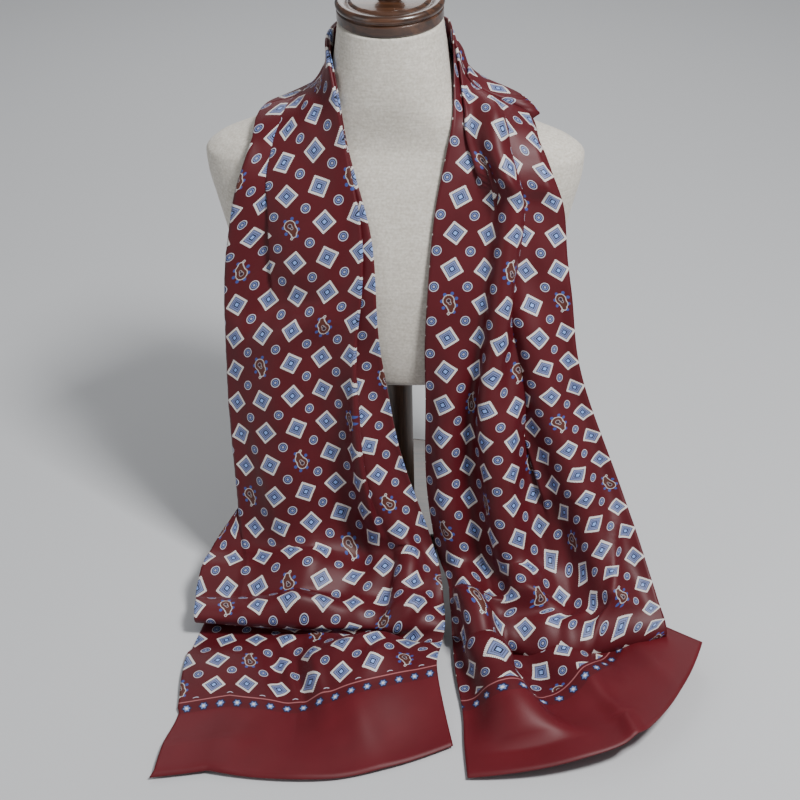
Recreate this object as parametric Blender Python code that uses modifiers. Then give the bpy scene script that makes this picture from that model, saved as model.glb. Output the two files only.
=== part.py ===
"""A skinny silk scarf worn open over a limbless dress form on a pole stand.

Metres, +Z up. The front faces -Y, and left and right are the viewer's, seen from the front. The origin is on
the surface that the stand rests on, under the pole.
The scarf is a flat tube of silk, two layers that lie together as one wall. It goes round the back of the neck,
hangs down both sides of the chest and lies in a pile on the surface in front of the stand.
"""

import math

import bmesh
import bpy
import numpy as np

# Driving dimensions
SCARF_WIDTH = 0.256
CLOTH_WALL = 0.0020
CLOTH_OFF_FORM = 0.0010
SEAM_GAP = 0.0003
FOLD_TURN = 0.0095
FLAP_RADIUS = 0.0042
FORM_TOP = 0.546
CAP_RADIUS = 0.050
CAP_TILT = math.radians(4.5)
POLE_RADIUS = 0.0134
BASE_RADIUS = 0.100
BASE_HEIGHT = 0.018

# How finely the cloth is cut into facets
TAIL_COLUMNS = 30
TAIL_STATIONS = 50
NECK_STATIONS = 13
FINE = 513

# The form's sections from the bottom up: height, half width, front, back, in millimetres
FORM_ROUNDNESS = 2.3
FORM_SECTIONS = (
    (207, 139, 98, 78),
    (213, 146, 104, 84),
    (250, 151, 107, 88),
    (300, 159, 103, 90),
    (335, 167, 94, 88),
    (370, 176, 82, 82),
    (400, 183, 70, 73),
    (415, 184, 63, 67),
    (426, 173, 57, 62),
    (437, 146, 53, 59),
    (448, 117, 52, 58),
    (462, 86, 53, 58),
    (480, 64, 54.5, 57),
    (505, 55.5, 53, 54),
    (527, 51.5, 51, 51),
    (546, 49, 49, 49),
)
FORM_BOTTOM = FORM_SECTIONS[0][0] / 1000

# The places along a tail where its two edges are given, from the shoulder to the hem
LEVELS = (
    "shoulder", "collar", "neck", "throat", "yoke", "chest", "bust", "waist", "edge", "drop", "fall",
    "low", "heap", "bulge", "crease", "roll", "nose", "tuck", "spread", "border", "band", "hem",
)  # fmt: skip

# Inner edge x y z, outer fold x y z, forward bow, outward bow, all in millimetres, and the flap's turn in degrees.
# The flap is the strip of the left tail that is folded back under it at the outer fold.
LEFT_RAILS = dict(
    shoulder=(-57, 2, 527, -121, 6, 452, 0, -22, 165),
    collar=(-50, -32, 508, -128, -34, 445, 0, -14, 165),
    neck=(-43, -48, 482, -134, -52, 424, 0, -6, 165),
    throat=(-37, -57, 448, -140, -61, 398, 0, 0, 165),
    yoke=(-27, -69, 412, -146, -64, 366, 0, 0, 165),
    chest=(-13, -88, 366, -152, -70, 325, 0, 0, 165),
    bust=(-7, -108, 312, -155, -82, 274, 0, 0, 165),
    waist=(-4, -114, 258, -156, -94, 222, 0, 0, 160),
    edge=(3, -118, 211, -155, -105, 181, 0, 0, 150),
    drop=(12, -126, 161, -152, -118, 133, 0, 0, 135),
    fall=(26, -135, 114, -149, -132, 88, 0, 0, 100),
    low=(42, -146, 72, -146, -146, 52, 0, 0, 60),
    heap=(52, -158, 46, -140, -164, 40, 0, 0, 35),
    bulge=(59, -182, 36, -137, -186, 38, 0, 0, 20),
    crease=(64, -208, 27, -138, -213, 24, 0, 0, 15),
    roll=(67, -229, 29, -132, -230, 29, 4, 0, 10),
    nose=(69, -247, 20, -128, -247, 18, 6, 0, 5),
    tuck=(66, -232, 7, -127, -232, 6, 8, 0, 0),
    spread=(64, -270, 14, -131, -272, 4, 14, 0, 0),
    border=(66, -299, 12, -125, -344, 3, 22, 0, 0),
    band=(76, -340, 5, -127, -388, 3, 24, 0, 0),
    hem=(87, -382, 3, -127, -433, 3, 25, 0, 0),
)
RIGHT_RAILS = dict(
    shoulder=(57, 4, 530, 134, 6, 450, 0, -30, 0),
    collar=(60, -18, 496, 141, -22, 444, 0, -22, 0),
    neck=(61, -40, 468, 149, -38, 433, 0, -10, 0),
    throat=(56, -56, 436, 158, -49, 413, 0, -3, 0),
    yoke=(49, -72, 400, 166, -54, 385, 0, 0, 0),
    chest=(44, -90, 356, 171, -68, 344, 0, 0, 0),
    bust=(41, -108, 304, 178, -84, 300, 0, 0, 0),
    waist=(39, -114, 256, 184, -98, 254, 0, 0, 0),
    edge=(40, -120, 210, 197, -110, 208, 0, 0, 0),
    drop=(40, -128, 164, 214, -122, 166, 0, 0, 0),
    fall=(42, -137, 112, 233, -140, 123, 0, 0, 0),
    low=(49, -147, 64, 251, -165, 84, 0, 0, 0),
    heap=(57, -158, 36, 263, -187, 58, 0, 0, 0),
    bulge=(67, -184, 28, 270, -203, 44, 4, 0, 0),
    crease=(70, -208, 24, 275, -215, 35, 10, 0, 0),
    roll=(73, -230, 26, 279, -224, 27, 20, 0, 0),
    nose=(75, -247, 17, 280, -228, 16, 28, 0, 0),
    tuck=(74, -233, 6, 272, -206, 5, 28, 0, 0),
    spread=(80, -278, 5, 268, -196, 4, 36, 0, 0),
    border=(89, -322, 4, 258, -190, 6, 48, 0, 0),
    band=(96, -372, 3, 284, -216, 14, 56, 0, 0),
    hem=(103, -421, 3, 313, -246, 24, 62, 0, 0),
)
LEFT_TURN_AT = 0.208
RIGHT_TURN_AT = SCARF_WIDTH

# The scarf's edges behind the neck, from left to right: the same columns, without the flap
BACK_RAILS = (
    (-42, 44, 533, -92, 46, 449, 0, -12),
    (0, 61, 536, 0, 72, 436, 0, 0),
    (42, 44, 533, 96, 46, 447, 0, -14),
)

# Folds that run down a tail: name, kind, middle measured from the inner edge, width of a ridge, and how much.
# How much is a lap's overlap or a swell's height in millimetres, or a ridge's steepness. Then the levels where
# the fold starts, is full, starts to ease and ends.
LEFT_FOLDS = (
    ("front lap", "lap", 54, 0, 26, "shoulder", "shoulder", "bust", "fall"),
    ("shoulder lap", "lap", 144, 0, 22, "shoulder", "shoulder", "neck", "chest"),
    ("outer pleat", "ridge", 182, 46, 1.0, "shoulder", "shoulder", "chest", "waist"),
    ("inner panel", "ridge", 54, 54, 1.2, "chest", "edge", "bulge", "nose"),
    ("outer panel", "ridge", 138, 120, 0.5, "chest", "edge", "bulge", "nose"),
    ("lobe", "swell", 84, 150, 16, "nose", "border", "border", "hem"),
)
RIGHT_FOLDS = (
    ("front lap", "lap", 157, 0, 48, "shoulder", "shoulder", "bust", "low"),
    ("neck lap", "lap", 42, 0, 18, "shoulder", "shoulder", "neck", "yoke"),
    ("inner panel", "ridge", 34, 90, 0.9, "chest", "edge", "low", "nose"),
    ("mid panel", "ridge", 110, 60, 1.0, "shoulder", "waist", "low", "nose"),
    ("outer panel", "ridge", 188, 70, 1.0, "shoulder", "waist", "low", "nose"),
    ("outer roll", "ridge", 236, 44, 0.7, "shoulder", "chest", "edge", "low"),
    ("inner roll", "ridge", 50, 100, 1.0, "bulge", "roll", "border", "hem"),
    ("middle roll", "ridge", 150, 90, 0.4, "bulge", "roll", "border", "band"),
)
SWELL_SHARPNESS = 0.7
STEEPEST = 1.7
LIMPEST = 2.2

# Colours as linear RGB, with roughness
BURGUNDY_SILK = ((0.122, 0.012, 0.019, 1), 0.42)
LINEN = ((0.74, 0.72, 0.66, 1), 0.90)
DARK_WOOD = ((0.060, 0.026, 0.014, 1), 0.28)
POLE_WOOD = ((0.085, 0.045, 0.026, 1), 0.40)


def smooth(share):
    """0 up to 0, 1 from 1 on, and a soft rise between."""
    share = np.clip(share, 0, 1)
    return share * share * (3 - 2 * share)


def natural_spline(places, values, at):
    """Values at places along a smooth curve through every row."""
    count = len(places)
    steps = np.diff(places)
    slopes = np.diff(values, axis=0) / steps[:, None]
    matrix = np.eye(count)
    right = np.zeros_like(values)
    for i in range(1, count - 1):
        matrix[i, i - 1 : i + 2] = steps[i - 1], 2 * (steps[i - 1] + steps[i]), steps[i]
        right[i] = 6 * (slopes[i] - slopes[i - 1])
    bends = np.linalg.solve(matrix, right)
    at = np.clip(at, places[0], places[-1])
    i = np.clip(np.searchsorted(places, at, side="right") - 1, 0, count - 2)
    step = steps[i][:, None]
    after = (at - places[i])[:, None]
    before = step - after
    ends = bends[i] * before**3 / (6 * step) + bends[i + 1] * after**3 / (6 * step)
    start = (values[i] / step - bends[i] * step / 6) * before
    finish = (values[i + 1] / step - bends[i + 1] * step / 6) * after
    return ends + start + finish


def form_size(height):
    """Half width, front and back of the form at each height, with no overshoot between its sections."""
    rows = np.array(FORM_SECTIONS, float) / 1000
    z, sizes = rows[:, 0], rows[:, 1:]
    step = np.diff(z)[:, None]
    rise = np.diff(sizes, axis=0) / step
    slope = np.vstack([rise[:1], np.zeros_like(rise[1:]), rise[-1:]])
    with_next = 2 * step[1:] + step[:-1]
    with_last = step[1:] + 2 * step[:-1]
    steady = rise[:-1] * rise[1:] > 0
    safe_last = np.where(steady, rise[:-1], 1)
    safe_next = np.where(steady, rise[1:], 1)
    mean = (with_next + with_last) / (with_next / safe_last + with_last / safe_next)
    slope[1:-1] = np.where(steady, mean, 0)
    height = np.clip(height, z[0], z[-1])
    i = np.clip(np.searchsorted(z, height, side="right") - 1, 0, len(z) - 2)
    gap = (z[i + 1] - z[i])[..., None]
    t = (height - z[i])[..., None] / gap
    from_below = sizes[i] * (1 + 2 * t) + slope[i] * gap * t
    from_above = sizes[i + 1] * (3 - 2 * t) - slope[i + 1] * gap * (1 - t)
    return from_below * (1 - t) ** 2 + from_above * t**2


def form_value(points):
    """1 on the form's skin and more outside it."""
    size = form_size(points[..., 2])
    depth = np.where(points[..., 1] < 0, size[..., 1], size[..., 2])
    across = np.abs(points[..., 0] / size[..., 0]) ** FORM_ROUNDNESS
    along = np.abs(points[..., 1] / depth) ** FORM_ROUNDNESS
    return (across + along) ** (1 / FORM_ROUNDNESS)


def off_form(points, gap, turns=8, step=5e-4, most=0.01):
    """The points, each moved out to lie at least a gap off the form's skin."""
    points = points.copy()
    for _ in range(turns):
        slope = np.zeros_like(points)
        for axis in range(3):
            nudge = np.zeros(3)
            nudge[axis] = step
            slope[..., axis] = (form_value(points + nudge) - form_value(points - nudge)) / (2 * step)
        steep = np.maximum(np.linalg.norm(slope, axis=-1, keepdims=True), 1e-6)
        away = (form_value(points)[..., None] - 1) / steep
        short = np.clip(gap - away, 0, most)
        short[points[..., 2] < FORM_BOTTOM - 2 * gap] = 0
        points += short * slope / steep
    return points


def folds_at(folds, level):
    """Kind, middle, width, amount and share of each fold that is there at this level."""
    for _, kind, middle, wide, amount, *names in folds:
        start, full, ease, end = (LEVELS.index(name) for name in names)
        rise = 1.0 if level >= full else smooth((level - start) / (full - start))
        fall = 1.0 if level <= ease else 1 - smooth((level - ease) / (end - ease))
        if start <= level <= end and rise * fall > 0:
            yield kind, middle / 1000, wide / 1000, amount, float(rise * fall)


def cloth_angle(folds, level, across, limp):
    """The angle at which the cloth runs, in a section, at each distance from its inner edge."""
    angle = np.zeros_like(across)
    for kind, middle, wide, amount, share in folds_at(folds, level):
        if kind == "lap":
            half = amount / 1000 * share / 2
            back = smooth((across - middle + half) / FOLD_TURN + 0.5)
            forth = smooth((across - middle - half) / FOLD_TURN + 0.5)
            angle += math.pi * (back - forth)
        elif kind == "ridge":
            turn = (across - middle) / wide + 0.5
            steep = min(amount * share * limp, STEEPEST)
            angle += np.where((turn > 0) & (turn < 1), steep * np.sin(2 * math.pi * turn), 0)
    return angle


def swell_height(folds, level, across):
    height = np.zeros_like(across)
    for kind, middle, wide, amount, share in folds_at(folds, level):
        if kind == "swell":
            turn = np.clip((across - middle) / wide + 0.5, 0, 1)
            bump = 0.5 - 0.5 * np.cos(2 * math.pi * turn)
            height += amount / 1000 * share * bump**SWELL_SHARPNESS
    return height


def walk(angle, step):
    """Distance along and out, from going at each angle for a step."""
    middle = (angle[1:] + angle[:-1]) / 2
    along = np.concatenate([[0], np.cumsum(np.cos(middle)) * step])
    out = np.concatenate([[0], np.cumsum(np.sin(middle)) * step])
    return along, out


def cloth_section(folds, level, span, turn_at, flap):
    """A section's distances across the cloth, along its chord and out of it, and the angle that the cloth turns.

    The ridges grow steeper until the cloth between its inner edge and its outer fold fits the span.
    """
    across = np.linspace(0, SCARF_WIDTH, FINE)
    step = across[1] - across[0]
    panel = across <= turn_at + 1e-9
    flat, limp = 0.0, LIMPEST
    for _ in range(20):
        middle = (flat + limp) / 2
        along, out = walk(cloth_angle(folds, level, across, middle), step)
        if along[panel][-1] > span:
            flat = middle
        else:
            limp = middle
    angle = cloth_angle(folds, level, across, middle)
    along *= span / along[panel][-1]
    out -= out[panel][-1] * smooth((across - 0.3 * turn_at) / (0.7 * turn_at))
    out += swell_height(folds, level, across)
    if flap:
        bend = np.clip((across - turn_at) / FLAP_RADIUS, 0, flap)
        back, down = walk(np.where(panel, 0, bend), step)
        lift = (1 - math.cos(flap)) * FLAP_RADIUS + CLOTH_WALL
        rise = lift * smooth((across - turn_at) / 0.05 + 1)
        along = np.where(panel, along, span + back - back[panel][-1])
        out = np.maximum(np.where(panel, out, 0) + rise - down, CLOTH_WALL * np.sin(bend / 2))
        angle = angle - bend
    return across, along, out, angle


def columns_of(angle, across, count, room=0.012, turn=0.8):
    """Distances across the cloth, closer together where it turns."""
    weight = np.diff(across) / room + np.abs(np.diff(angle)) / turn
    run = np.concatenate([[0], np.cumsum(weight)])
    return np.interp(np.linspace(0, run[-1], count), run, across)


def stations_of(run, rails, first, count, room=0.018, turn=0.35):
    """Distances along the cloth from its first row on, closer together where its middle line turns."""
    fine = np.linspace(run[first], run[-1], 801)
    values = natural_spline(run, rails, fine)
    steps = np.diff((values[:, 0:3] + values[:, 3:6]) / 2, axis=0)
    length = np.linalg.norm(steps, axis=1)
    ways = steps / length[:, None]
    bend = np.arccos(np.clip(np.sum(ways[1:] * ways[:-1], axis=1), -1, 1))
    weight = length / room + np.concatenate([[0], bend]) / turn
    total = np.concatenate([[0], np.cumsum(weight)])
    return np.interp(np.linspace(0, total[-1], count), total, fine)


def rail_table(rows):
    """Distance along the middle line at each row, and the rows in metres and radians."""
    table = np.array(rows, float)
    table[:, :8] /= 1000
    table[:, 8] = np.radians(table[:, 8])
    middle = (table[:, 0:3] + table[:, 3:6]) / 2
    steps = np.linalg.norm(np.diff(middle, axis=0), axis=1)
    return np.concatenate([[0], np.cumsum(steps)]), table


def ways_along(run, rails, stations):
    ahead = natural_spline(run, rails, stations + 1e-3)
    behind = natural_spline(run, rails, stations - 1e-3)
    way = (ahead - behind)[:, 0:3] + (ahead - behind)[:, 3:6]
    return way / np.linalg.norm(way, axis=1, keepdims=True)


def laid_section(rail, way, side, along, out, angle):
    """One section's points, bowed between its two edges, off the form and raised by its folds.

    With them go the cloth's outward direction at each point and the way on to the next section.
    """
    inner, outer = rail[0:3], rail[3:6]
    chord = outer - inner
    span = np.linalg.norm(chord)
    chord = chord / span
    up = np.cross(chord, way) * side
    up /= np.linalg.norm(up)
    ahead = np.cross(up, chord) * side
    bow = 1 - np.abs(2 * np.clip(along / span, 0, 1) - 1) ** 1.7
    base = inner + chord * along[:, None] + (ahead * rail[6] + up * rail[7]) * bow[:, None]
    points = off_form(base, CLOTH_OFF_FORM) + up * out[:, None]
    return points, up * np.cos(angle)[:, None] - chord * np.sin(angle)[:, None], ahead


def span_of(rail):
    return np.linalg.norm(rail[3:6] - rail[0:3])


class Sheet:
    """A grid of points on the cloth's underside, and its outward direction at each of them."""

    def __init__(self, rows):
        self.points = np.array([row[0] for row in rows])
        self.outward = np.array([row[1] for row in rows])
        self.first_way = rows[0][2]

    def meet(self, end, tail):
        """Makes one end the same as a tail's first section, a seam's gap before it."""
        self.points[end] = tail.points[0] - tail.first_way * SEAM_GAP
        self.outward[end] = tail.outward[0]


def tail_points(rails, folds, turn_at, side, back):
    """A grid of points on the underside of a tail, from the shoulder to the hem."""
    flap = rails["shoulder"][8]
    rows = [(*row, flap) for row in back] + [rails[name] for name in LEVELS]
    run, table = rail_table(rows)
    stations = stations_of(run, table, len(back), TAIL_STATIONS)
    levels = np.interp(stations, run[len(back) :], np.arange(len(LEVELS)))
    values = natural_spline(run, table, stations)
    rows = []
    for rail, level, way in zip(values, levels, ways_along(run, table, stations)):
        flap = rail[8] if turn_at < SCARF_WIDTH else 0
        across, along, out, angle = cloth_section(folds, level, span_of(rail), turn_at, max(flap, 0))
        columns = columns_of(angle, across, TAIL_COLUMNS)
        section = [np.interp(columns, across, values) for values in (along, out, angle)]
        rows.append(laid_section(rail, way, side, *section))
    return Sheet(rows)


def neck_points():
    """A grid of points on the underside of the stretch behind the neck, between the two tails."""
    left_end, right_end = LEFT_RAILS["shoulder"], RIGHT_RAILS["shoulder"]
    rows = [LEFT_RAILS["neck"], LEFT_RAILS["collar"], left_end]
    rows += [(*row, 0) for row in BACK_RAILS]
    rows += [right_end, RIGHT_RAILS["collar"], RIGHT_RAILS["neck"]]
    run, table = rail_table(rows)
    stations = np.linspace(run[2], run[-3], NECK_STATIONS)
    values = natural_spline(run, table, stations)
    ends = []
    for rail, folds, turn_at in (
        (table[2], LEFT_FOLDS, LEFT_TURN_AT),
        (table[-3], RIGHT_FOLDS, RIGHT_TURN_AT),
    ):
        flap = rail[8] if turn_at < SCARF_WIDTH else 0
        across, along, out, angle = cloth_section(folds, 0, span_of(rail), turn_at, flap)
        columns = columns_of(angle, across, TAIL_COLUMNS)
        section = [np.interp(columns, across, values) for values in (along / span_of(rail), out, angle)]
        ends.append(np.array(section))
    sections = []
    shares = (stations - stations[0]) / (stations[-1] - stations[0])
    for rail, share, way in zip(values, shares, ways_along(run, table, stations)):
        along, out, angle = ends[0] * (1 - smooth(share)) + ends[1] * smooth(share)
        sections.append(laid_section(rail, way, -1, along * span_of(rail), out, angle))
    return Sheet(sections)


def new_object(name, mesh, collection, material):
    obj = bpy.data.objects.new(name, mesh)
    collection.objects.link(obj)
    obj.data.materials.append(material)
    return obj


def cloth_wall(name, sheet, collection, material):
    """A closed wall on a sheet, flat wherever it would sink below the surface."""
    under = sheet.points.copy()
    under[..., 2] = np.maximum(under[..., 2], 0)
    over = sheet.points + sheet.outward * CLOTH_WALL
    over[..., 2] = np.maximum(over[..., 2], CLOTH_WALL / 2)
    rows, columns = under.shape[:2]
    shell = bmesh.new()
    low, high = ([[shell.verts.new(p) for p in row] for row in face] for face in (under, over))
    for face in (low, high):
        for j in range(rows - 1):
            for i in range(columns - 1):
                shell.faces.new((face[j][i], face[j][i + 1], face[j + 1][i + 1], face[j + 1][i]))
    rim = [(0, i) for i in range(columns)]
    rim += [(j, columns - 1) for j in range(1, rows)]
    rim += [(rows - 1, i) for i in range(columns - 2, -1, -1)]
    rim += [(j, 0) for j in range(rows - 2, 0, -1)]
    for (j, i), (m, k) in zip(rim, rim[1:] + rim[:1]):
        shell.faces.new((low[j][i], low[m][k], high[m][k], high[j][i]))
    bmesh.ops.recalc_face_normals(shell, faces=shell.faces)
    mesh = bpy.data.meshes.new(name)
    shell.to_mesh(mesh)
    shell.free()
    return new_object(name, mesh, collection, material)


def make_scarf(collection, material):
    left = tail_points(LEFT_RAILS, LEFT_FOLDS, LEFT_TURN_AT, 1, BACK_RAILS[1::-1])
    right = tail_points(RIGHT_RAILS, RIGHT_FOLDS, RIGHT_TURN_AT, -1, BACK_RAILS[1:])
    back = neck_points()
    back.meet(0, left)
    back.meet(-1, right)
    return [
        cloth_wall("scarf_tail_left", left, collection, material("silk_left", *BURGUNDY_SILK)),
        cloth_wall("scarf_neck", back, collection, material("silk_neck", *BURGUNDY_SILK)),
        cloth_wall("scarf_tail_right", right, collection, material("silk_right", *BURGUNDY_SILK)),
    ]


def make_form(collection, material, around=36):
    """The torso: rounded sections lofted from its flat bottom to its neck, whose top tilts with the cap."""
    heights = [row[0] / 1000 for row in FORM_SECTIONS]
    heights = np.array(sorted(heights + [0.209, 0.230, 0.275, 0.318, 0.4205, 0.4315, 0.455, 0.471, 0.492]))
    sizes = form_size(heights)
    body = bmesh.new()
    rings = []
    for z, (half_width, front, back) in zip(heights, sizes):
        ring = []
        for i in range(around):
            turn = 2 * math.pi * i / around
            x = half_width * math.copysign(abs(math.cos(turn)) ** (2 / FORM_ROUNDNESS), math.cos(turn))
            depth = back if math.sin(turn) > 0 else front
            y = depth * math.copysign(abs(math.sin(turn)) ** (2 / FORM_ROUNDNESS), math.sin(turn))
            tilt = smooth((z - 0.50) / (FORM_TOP - 0.50)) * math.tan(CAP_TILT)
            ring.append(body.verts.new((x, y, z + y * tilt)))
        rings.append(ring)
    for low, high in zip(rings, rings[1:]):
        for i in range(around):
            j = (i + 1) % around
            body.faces.new((low[i], low[j], high[j], high[i]))
    body.faces.new(reversed(rings[0]))
    body.faces.new(rings[-1])
    bmesh.ops.recalc_face_normals(body, faces=body.faces)
    mesh = bpy.data.meshes.new("torso_form")
    body.to_mesh(mesh)
    body.free()
    return new_object("torso_form", mesh, collection, material("linen", *LINEN))


def turned(name, outline, collection, material, steps=40):
    """A turned piece: its outline as radius and height, from axis to axis, screwed round Z."""
    mesh = bpy.data.meshes.new(name)
    points = [(radius, 0, height) for radius, height in outline]
    mesh.from_pydata(points, [(i, i + 1) for i in range(len(points) - 1)], [])
    obj = new_object(name, mesh, collection, material)
    screw = obj.modifiers.new("turned", "SCREW")
    screw.steps = screw.render_steps = steps
    screw.use_merge_vertices = True
    screw.merge_threshold = 0.00005
    screw.use_normal_calculate = True
    return obj


def arc(centre, radius, start, end, count):
    """Points on a round stretch of an outline, with angles in degrees."""
    for i in range(count + 1):
        angle = math.radians(start + (end - start) * i / count)
        yield centre[0] + radius * math.cos(angle), centre[1] + radius * math.sin(angle)


def make_cap(collection, material):
    """The wooden neck cap: a plain band, a rounded bead above it and a shallow groove inside the bead."""
    bead = 0.0045
    height = 0.020
    outline = [(0, 0), (CAP_RADIUS - 0.0015, 0), (CAP_RADIUS, 0.0015), (CAP_RADIUS, 0.010), (CAP_RADIUS - 0.0012, 0.011)]
    outline += arc((CAP_RADIUS - 0.0035, height - bead), bead, -50, 105, 6)
    outline += [(0.0405, height - 0.0012), (0.0390, height - 0.0024), (0.0375, height - 0.0012), (0.0350, height)]
    outline += [(0, height)]
    cap = turned("neck_cap", outline, collection, material("cap_wood", *DARK_WOOD))
    cap.location = (0, 0, FORM_TOP + SEAM_GAP)
    cap.rotation_euler.x = CAP_TILT
    knob_radius = 0.017
    knob = [(0, 0), (0.0120, 0), (0.0120, 0.0020), (0.0085, 0.0045), (0.0085, 0.0070)]
    knob += arc((0, 0.0200), knob_radius, -60, 90, 8)
    ball = turned("cap_knob", knob, collection, material("knob_wood", *DARK_WOOD), steps=24)
    ball.parent = cap
    ball.location = (0, 0, height + SEAM_GAP)
    return [cap, ball]


def make_stand(collection, material):
    """The pole and the round base that it stands on."""
    length = FORM_BOTTOM - BASE_HEIGHT - 2 * SEAM_GAP
    mesh = bpy.data.meshes.new("stand_pole")
    rod = bmesh.new()
    bmesh.ops.create_cone(
        rod, cap_ends=True, segments=32, radius1=POLE_RADIUS, radius2=POLE_RADIUS, depth=length
    )
    rod.to_mesh(mesh)
    rod.free()
    pole = new_object("stand_pole", mesh, collection, material("pole_wood", *POLE_WOOD))
    pole.location = (0, 0, BASE_HEIGHT + SEAM_GAP + length / 2)
    edge = 0.006
    outline = [(0, 0), (BASE_RADIUS - 0.001, 0), (BASE_RADIUS, 0.001)]
    outline += arc((BASE_RADIUS - edge, BASE_HEIGHT - edge), edge, 0, 90, 4)
    outline += [(0, BASE_HEIGHT)]
    base = turned("stand_base", outline, collection, material("base_wood", *DARK_WOOD), steps=48)
    return [pole, base]


def material(name, colour, roughness):
    made = bpy.data.materials.new(name)
    made.use_nodes = True
    shader = made.node_tree.nodes["Principled BSDF"]
    shader.inputs["Base Color"].default_value = colour
    shader.inputs["Roughness"].default_value = roughness
    shader.inputs["Metallic"].default_value = 0
    made.diffuse_color = colour
    return made


def main():
    for obj in list(bpy.data.objects):
        bpy.data.objects.remove(obj, do_unlink=True)
    collection = bpy.data.collections.new("scarf_on_dress_form")
    bpy.context.scene.collection.children.link(collection)
    root = bpy.data.objects.new("scarf_on_dress_form", None)
    collection.objects.link(root)
    pieces = make_scarf(collection, material)
    pieces += [make_form(collection, material)]
    pieces += make_cap(collection, material)
    pieces += make_stand(collection, material)
    for piece in pieces:
        if piece.parent is None:
            piece.parent = root


main()
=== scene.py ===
"""The look of a skinny silk scarf worn open over a linen dress form on a wooden pole stand.

Metres, +Z up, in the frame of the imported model: the front faces -Y, and left and right are the viewer's. The
cloth keeps the outline and the length of the model's walls. Its folds are worked out more finely, with small
creases added.
"""

import math

import bmesh
import bpy
import numpy as np
from mathutils import Matrix, Vector


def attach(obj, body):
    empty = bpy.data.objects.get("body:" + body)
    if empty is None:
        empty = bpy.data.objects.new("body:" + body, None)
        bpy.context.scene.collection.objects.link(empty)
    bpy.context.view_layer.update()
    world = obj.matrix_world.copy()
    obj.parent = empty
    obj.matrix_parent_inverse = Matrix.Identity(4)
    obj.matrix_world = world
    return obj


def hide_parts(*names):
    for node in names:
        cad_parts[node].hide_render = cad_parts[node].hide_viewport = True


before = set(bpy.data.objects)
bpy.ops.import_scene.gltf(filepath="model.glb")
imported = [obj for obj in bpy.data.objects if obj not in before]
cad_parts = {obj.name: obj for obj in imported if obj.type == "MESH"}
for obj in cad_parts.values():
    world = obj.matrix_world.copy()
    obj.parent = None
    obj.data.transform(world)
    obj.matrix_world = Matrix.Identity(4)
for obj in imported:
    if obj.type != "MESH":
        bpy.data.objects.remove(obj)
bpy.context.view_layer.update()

# The scarf. Its folds leave room for a wall, and a turn is the length of cloth that goes round a fold: a wide
# one where the fold stands up, and a tight one at its edge once half its overlap is past EDGE_TIGHT_FROM.
SCARF_WIDTH = 0.256
CLOTH_WALL = 0.0016
CLOTH_OFF_FORM = 0.0010
CLOTH_OFF_FLOOR = 0.0002
FOLD_TURN = 0.0070
FOLD_EDGE = 0.0028
EDGE_TIGHT_FROM = 0.008
FLAP_RADIUS = 0.0036
FLAP_EASE = 0.05
CREST_LEAST = 0.3
CREST_MOST = 0.94
BOW_POWER = 1.7

# The form and its stand, as in the model
FORM_TOP = 0.546
TILT_FROM = 0.50
CAP_RADIUS = 0.050
CAP_TILT = math.radians(4.5)
POLE_RADIUS = 0.0134
BASE_RADIUS = 0.100
BASE_HEIGHT = 0.018
SEAM_GAP = 0.0003

# How finely the cloth is cut here
SILK_WALL = 0.0012
TAIL_COLUMNS = 140
TAIL_STATIONS = 210
NECK_STATIONS = 60
FINE = 513
THREADS = np.linspace(0, SCARF_WIDTH, 33)

# The form's sections from the bottom up: height, half width, front, back, in millimetres
FORM_ROUNDNESS = 2.3
FORM_SECTIONS = (
    (207, 139, 98, 78),
    (213, 146, 104, 84),
    (250, 151, 107, 88),
    (300, 159, 103, 90),
    (335, 167, 94, 88),
    (370, 176, 82, 82),
    (400, 183, 70, 73),
    (415, 184, 63, 67),
    (426, 173, 57, 62),
    (437, 146, 53, 59),
    (448, 117, 52, 58),
    (462, 86, 53, 58),
    (480, 64, 54.5, 57),
    (505, 55.5, 53, 54),
    (527, 51.5, 51, 51),
    (546, 49, 49, 49),
)
FORM_BOTTOM = FORM_SECTIONS[0][0] / 1000

# The places along a tail where its two edges are given, from the shoulder to the hem
LEVELS = (
    "shoulder", "collar", "neck", "throat", "yoke", "chest", "bust", "waist", "edge", "drop", "fall",
    "low", "heap", "bulge", "crease", "roll", "nose", "tuck", "spread", "border", "band", "hem",
)  # fmt: skip

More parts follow.
